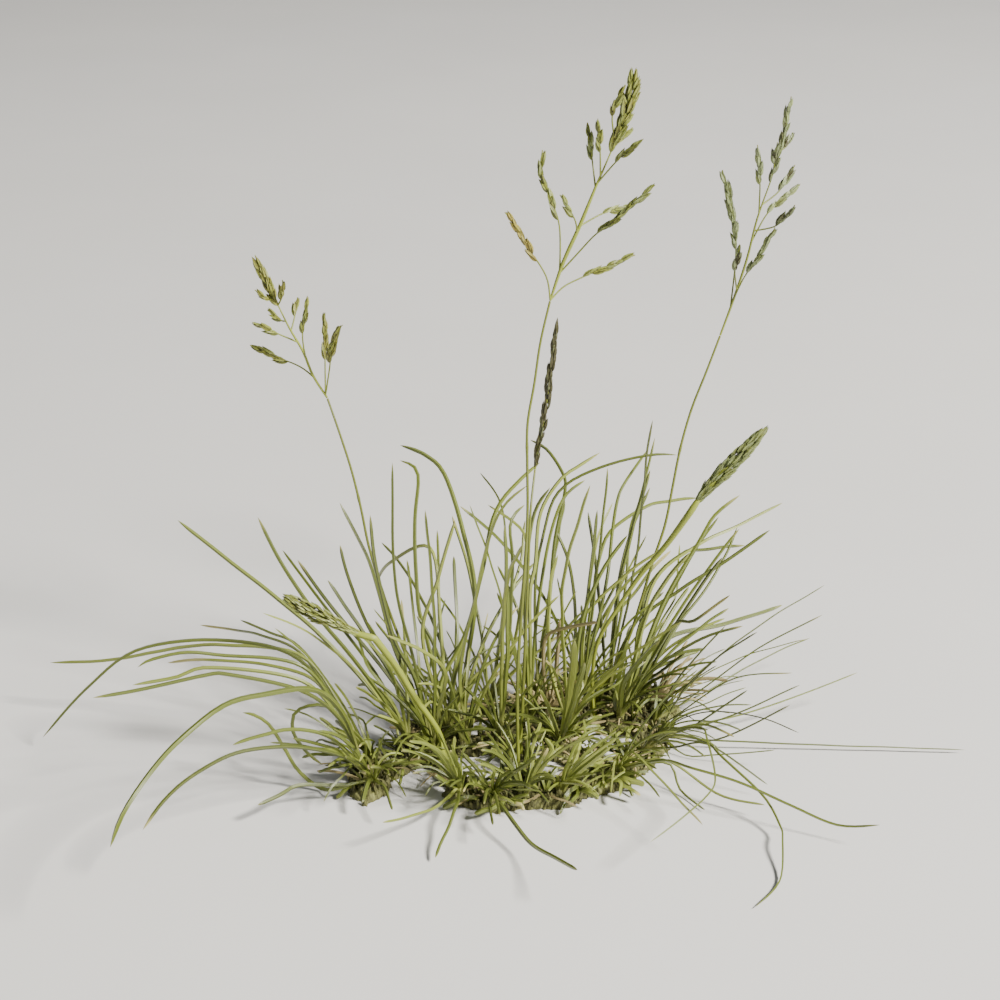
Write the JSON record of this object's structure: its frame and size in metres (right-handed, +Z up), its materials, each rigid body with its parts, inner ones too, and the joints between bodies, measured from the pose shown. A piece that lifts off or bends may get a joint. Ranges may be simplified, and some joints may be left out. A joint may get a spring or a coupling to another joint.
{
  "type": "alpine bluegrass tussock",
  "caption": "Tussock of alpine bluegrass: arching leaf tufts on a low crown, with open and closed flowering panicles on thin culms.",
  "frame": {"origin": "middle of the crown's flat underside, where the tussock meets the ground", "axes": "+Z up, -Y towards the front, +X to the right along the longest reach of the leaves"},
  "size_m": [0.3659, 0.274, 0.2718],
  "materials": {
    "leaf": "satin green leaf with fine lengthwise veins",
    "culm": "smooth satin stem",
    "spikelet": "papery green scales with pale edges",
    "straw": "dry withered leaf",
    "crown": "fibrous packed leaf bases"
  },
  "bodies": {
    "root": {"crown": "crown", "culm_bright_closed": "culm", "culm_centre": "culm", "culm_dark_spike": "culm", "culm_left": "culm", "culm_pale_closed": "culm", "culm_right": "culm", "dead_leaves_middle": "straw", "dead_leaves_right": "straw", "front_row_left": "leaf", "front_row_middle": "leaf", "front_row_right": "leaf", "front_row_tip": "leaf", "head_bright_closed": "spikelet", "head_centre": "spikelet", "head_dark_spike": "spikelet", "head_left": "spikelet", "head_pale_closed": "spikelet", "head_right": "spikelet", "left_clump_back": "leaf", "left_clump_front": "leaf", "left_clump_inner": "leaf", "left_clump_middle": "leaf", "left_clump_outer": "leaf", "left_clump_upper": "leaf", "left_fan_back": "leaf", "left_fan_front": "leaf", "left_fan_side": "leaf", "middle_back": "leaf", "middle_centre": "leaf", "middle_far": "leaf", "middle_fold": "leaf", "middle_front": "leaf", "middle_left": "leaf", "middle_right": "leaf", "right_clump_back": "leaf", "right_clump_front": "leaf", "right_clump_outer": "leaf", "right_clump_side": "leaf", "right_clump_upright": "leaf", "right_fan_back": "leaf", "right_fan_front": "leaf", "right_fan_low": "leaf", "right_fan_side": "leaf"}
  },
  "joints": []
}
